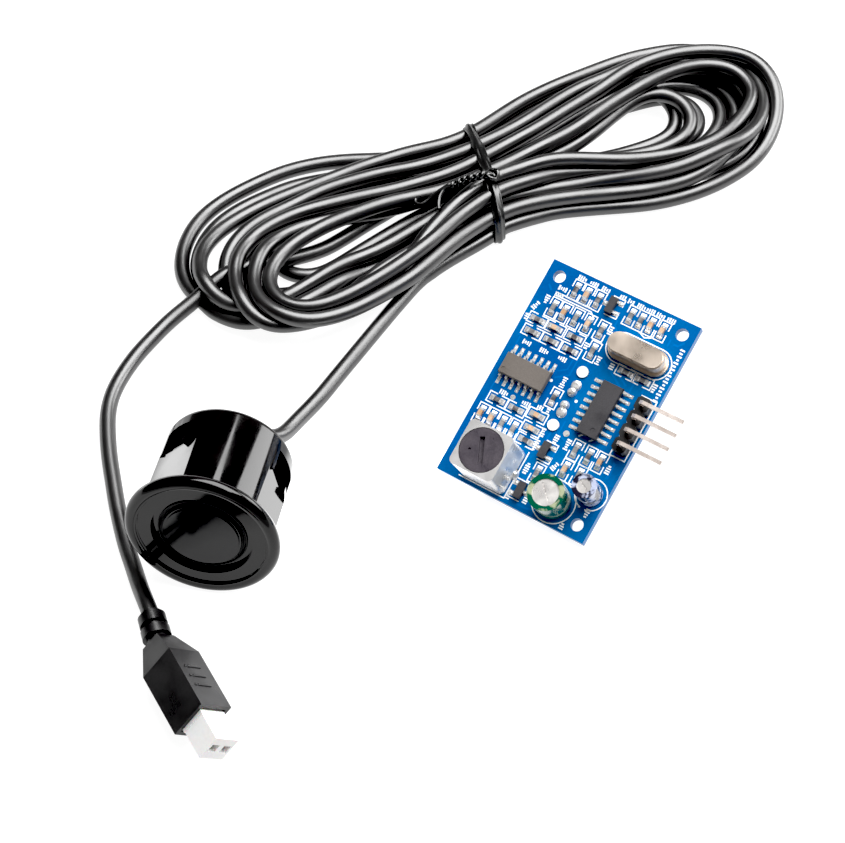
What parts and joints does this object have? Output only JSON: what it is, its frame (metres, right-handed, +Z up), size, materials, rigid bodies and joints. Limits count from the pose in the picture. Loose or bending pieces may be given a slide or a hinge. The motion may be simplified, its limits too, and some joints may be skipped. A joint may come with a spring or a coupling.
{
  "type": "ultrasonic distance sensor",
  "caption": "Sealed ultrasonic ranging probe on a long tied cable with a two-way plug, and its leaning blue control board with header pins and tuning transformer.",
  "frame": {"origin": "centre of the footprint of the board and the probe, on the surface that they lie on; the cable, hank, tie and plug are left out of that footprint", "axes": "+Z up; +X along the long side of that footprint, from the probe to the board; +Y from the plug's side to the hank's side"},
  "size_m": [0.1214, 0.1587, 0.0252],
  "materials": {
    "board_mask": "glossy blue solder mask",
    "black_plastic": "moulded black",
    "gilt_pins": "gold flash",
    "white_nylon": "natural nylon",
    "tinned": "tinned brass",
    "solder": "bright solder",
    "grey_epoxy": "matte moulding compound",
    "dark_epoxy": "matte moulding compound",
    "nickel_can": "drawn nickel-plated steel",
    "tin_can": "tinned steel sheet",
    "ferrite": "pressed ferrite",
    "copper_wire": "enamelled copper",
    "bare_aluminium": "satin",
    "green_sleeve": "shrunk film",
    "rubber_black": "matte",
    "violet_sleeve": "shrunk film",
    "dark_ceramic": "glazed",
    "tan_ceramic": "sintered",
    "probe_black": "polished moulding",
    "black_aluminium": "gloss black coat",
    "piezo_silver": "silvered ceramic",
    "red_wire": "insulation",
    "white_wire": "insulation",
    "felt": "pressed felt",
    "potting": "cast resin",
    "cable_jacket": "smooth jacket",
    "tie_black": "coated wire",
    "boot_black": "moulded"
  },
  "bodies": {
    "probe_and_cable": {"probe_housing": "probe_black", "isolation_ring": "rubber_black", "transducer_cup": "black_aluminium", "piezo_disc": "piezo_silver", "signal_wire": "red_wire", "ground_wire": "white_wire", "damping_pad": "felt", "potting_fill": "potting", "probe_grommet": "rubber_black", "cable_inner_end": "cable_jacket", "probe_cable": "cable_jacket", "cable_hank": "cable_jacket", "plug_cable": "cable_jacket", "twist_tie": "tie_black", "plug_relief": "boot_black", "plug_boot": "boot_black", "plug_insert": "white_nylon", "plug_contacts": "tinned"},
    "control_board": {"circuit_board": "board_mask", "header_block": "black_plastic", "header_pins": "gilt_pins", "socket_housing": "white_nylon", "socket_pins": "tinned", "solder_joints": "solder", "logic_chip_body": "grey_epoxy", "logic_chip_leads": "tinned", "driver_chip_body": "dark_epoxy", "driver_chip_leads": "tinned", "crystal_can": "nickel_can", "crystal_base": "nickel_can", "crystal_leads": "tinned", "transformer_can": "tin_can", "transformer_frame": "white_nylon", "transformer_drum": "ferrite", "transformer_coil": "copper_wire", "transformer_pins": "tinned", "large_cap_can": "bare_aluminium", "large_cap_sleeve": "green_sleeve", "large_cap_bung": "rubber_black", "large_cap_leads": "tinned", "small_cap_can": "bare_aluminium", "small_cap_sleeve": "violet_sleeve", "small_cap_bung": "rubber_black", "small_cap_leads": "tinned", "transistor_bodies": "dark_epoxy", "transistor_leads": "tinned", "resistor_bodies": "dark_ceramic", "resistor_ends": "tinned", "ceramic_bodies": "tan_ceramic", "ceramic_ends": "tinned"},
    "tuning_core": {"tuning_cup": "ferrite"}
  },
  "joints": [
    {"name": "board_lift", "type": "slide", "parent": "probe_and_cable", "child": "control_board", "axis": [0, 0, 1], "range_m": [0, 0.03]},
    {"name": "core_turn", "type": "hinge", "parent": "control_board", "child": "tuning_core", "pos_m": [0.00993, -0.00715, 0.01176], "axis": [-0.2549, -0.385, 0.887], "range_deg": [-450, 450]}
  ]
}
